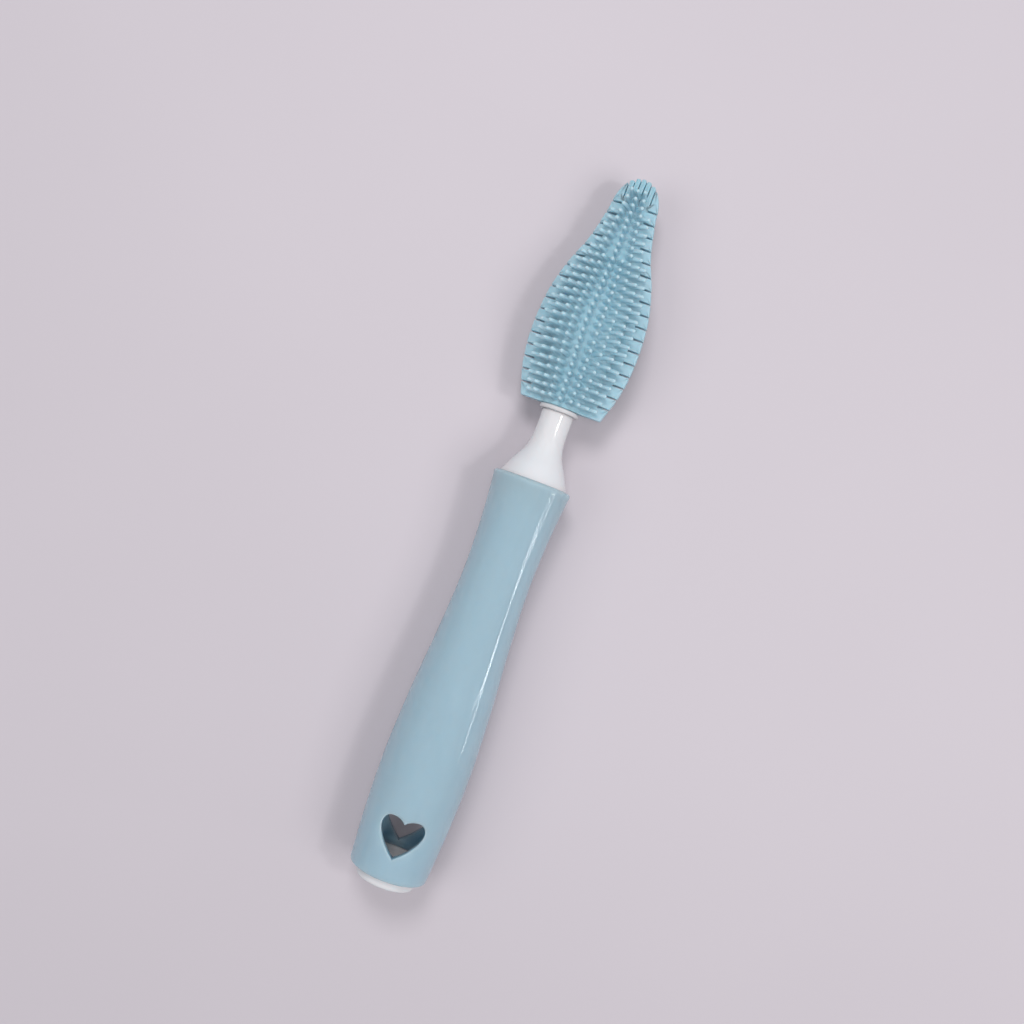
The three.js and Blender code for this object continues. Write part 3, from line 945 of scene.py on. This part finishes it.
def mark_tip_light(obj, inverse):
    """Stores how far each vertex stands off the head's body, as a share of a bristle's length; the silicone
    uses it to paint the tips and fin edges paler as painted light and the roots darker as painted shade.
    """
    attribute = obj.data.attributes.new("bristle_height", "FLOAT", "POINT")
    for vertex in obj.data.vertices:
        p = inverse @ vertex.co
        h = min(max(p.y, 0), NOSE_FROM)
        a, b = body_half_width(h), body_half_thickness(h)
        reach = math.hypot(p.x / a, p.z / b)
        tip_light_mask = (1 - 1 / max(reach, 1e-6)) * math.hypot(p.x, p.z)
        if abs(p.z) < FIN_HALF_THICK + 0.02:
            tip_light_mask = 0.55 * BRISTLE_LENGTH * min(max(abs(p.x) - a, 0) / (fin_half_width(h) - a), 1)
        attribute.data[vertex.index].value = min(max(tip_light_mask / BRISTLE_LENGTH, 0), 1)


def silicone_head():
    verts, faces = head_body()
    base = new_object("silicone_head", verts, faces)
    parts = [*fin_groups(), *bristle_groups()]
    others = [new_object("head_part", part[0], part[1]) for part in parts]
    head = joined(base, others)
    head.data.transform(TO_HEAD)
    mark_tip_light(head, TO_HEAD.inverted())
    return head


settle(grip_shell(), "handle", "handle_shell", grip_plastic, sharp=50)
settle(end_cap(), "cap", "end_cap", white_plastic, sharp=50)
settle(stem(), "stem", "stem", white_plastic, sharp=50)
settle(head_core(), "head", "head_core", milky_plastic, sharp=50)
settle(silicone_head(), "head", "brush_head", silicone, sharp=60)

# ---- floor, light and camera -------------------------------------------------------------------
PHOTO_TURN = math.radians(20.5)  # the brush lies turned clockwise in the picture
CAMERA_HEIGHT = 0.310  # above the brush's centre line
CAMERA_AT = (-0.0022, 0.00405)
LENS = 43.6
BELLY_AT = 29  # height at which the grip touches the floor
REST_SLOPE = math.atan(0.54 / 116)  # the floor touches the grip's belly and the head's bristles


FLOOR_HALF_SIZE = 1.6  # in metres
FLOOR_COLOUR = (0.555, 0.51, 0.55)
FLOOR_CLOUD_COLOUR = (0.54, 0.496, 0.535)


def floor():
    bm = bmesh.new()
    bmesh.ops.create_grid(bm, x_segments=8, y_segments=8, size=FLOOR_HALF_SIZE)
    mesh = bpy.data.meshes.new("floor")
    bm.to_mesh(mesh)
    bm.free()
    obj = bpy.data.objects.new("floor", mesh)
    bpy.context.collection.objects.link(obj)
    contact = START_Y + BELLY_AT * MM
    obj.matrix_world = Matrix.Translation((0, contact, 0)) @ Matrix.Rotation(REST_SLOPE, 4, "X")
    material, tree, shader = node_material("floor_paint", FLOOR_COLOUR, 0.7)
    cloud = ranged(tree, noise(tree, 6, detail=2), 0, 1)
    colour = mixed_colour(tree, cloud, FLOOR_COLOUR, FLOOR_CLOUD_COLOUR)
    tree.links.new(colour, shader.inputs["Base Color"])
    mesh.materials.append(material)


def area_light(name, place, aim, size, watts, colour=(1, 1, 1)):
    data = bpy.data.lights.new(name, "AREA")
    data.shape = "RECTANGLE"
    data.size, data.size_y = size
    data.energy = watts
    data.color = colour
    obj = bpy.data.objects.new(name, data)
    bpy.context.collection.objects.link(obj)
    obj.location = place
    obj.rotation_mode = "QUATERNION"
    obj.rotation_quaternion = (Vector(aim) - Vector(place)).to_track_quat("-Z", "Y")
    return obj


def strip_light(name, start, end, width, strength):
    """A long thin lamp between two points, turned towards the brush."""
    start, end = Vector(start), Vector(end)
    middle = (start + end) / 2
    length = (end - start).length
    obj = area_light(name, middle, (0, 0, 0.01), (length, width), strength * length * width)
    along_lamp = (end - start).normalized()
    back = (middle - middle.dot(along_lamp) * along_lamp).normalized()
    across = back.cross(along_lamp)
    obj.rotation_quaternion = Matrix((along_lamp, across, back)).transposed().to_quaternion()
    return obj


def camera():
    data = bpy.data.cameras.new("camera")
    data.lens = LENS
    data.sensor_width = 36
    data.clip_start = 0.01
    data.clip_end = 20
    obj = bpy.data.objects.new("camera", data)
    bpy.context.collection.objects.link(obj)
    obj.location = (CAMERA_AT[0], CAMERA_AT[1], AXIS_Z + CAMERA_HEIGHT)
    obj.rotation_euler = Euler((0, 0, PHOTO_TURN))
    bpy.context.scene.camera = obj


def world():
    scene_world = bpy.data.worlds.new("studio")
    scene_world.use_nodes = True
    background = scene_world.node_tree.nodes["Background"]
    background.inputs["Color"].default_value = (0.93, 0.95, 1.0, 1)
    background.inputs["Strength"].default_value = 0.3
    bpy.context.scene.world = scene_world
    bpy.context.scene.view_settings.view_transform = "Standard"


floor()
camera()
world()
windows = [
    area_light("right_window", (0.62, -0.08, 0.85), (0, 0, 0.01), (0.5, 0.5), 3.5, (1, 0.99, 0.985)),
    area_light("left_window", (-0.7, -0.3, 0.95), (0, 0, 0.01), (0.7, 0.7), 3.0, (0.98, 0.99, 1)),
    area_light("head_window", (-0.12, 0.3, 0.56), (0, -0.03, 0.01), (0.2, 0.2), 1.6),
    area_light("overhead_window", (0.0, -0.01, 0.7), (0, -0.08, 0.01), (0.12, 0.12), 0.6),
]
for window in windows:
    window.visible_glossy = False
# A long lamp off to the right, bent so that the barrel shows it as one straight thin line.
upper_line = [(-0.072, 0.26), (-0.057, 0.2), (-0.0385, 0.158), (-0.024, 0.128)]
lower_line = [(-0.0356, 0.124), (-0.058, 0.125), (-0.127, 0.129)]
STRIP_AWAY = 0.5
STRIP_STRENGTH = 40
for line, strip_widths in ((upper_line, (0.008, 0.01, 0.024)), (lower_line, (0.016, 0.013))):
    for (y0, z0), (y1, z1), strip_width in zip(line, line[1:], strip_widths):
        start, end = (STRIP_AWAY, y0, z0), (STRIP_AWAY, y1, z1)
        strip_light("strip", start, end, strip_width, STRIP_STRENGTH)
area_light("ceiling_lamp", (0.347, 0.08, 0.6), (0.0, 0.03, 0.02), (0.06, 0.06), 0.5)
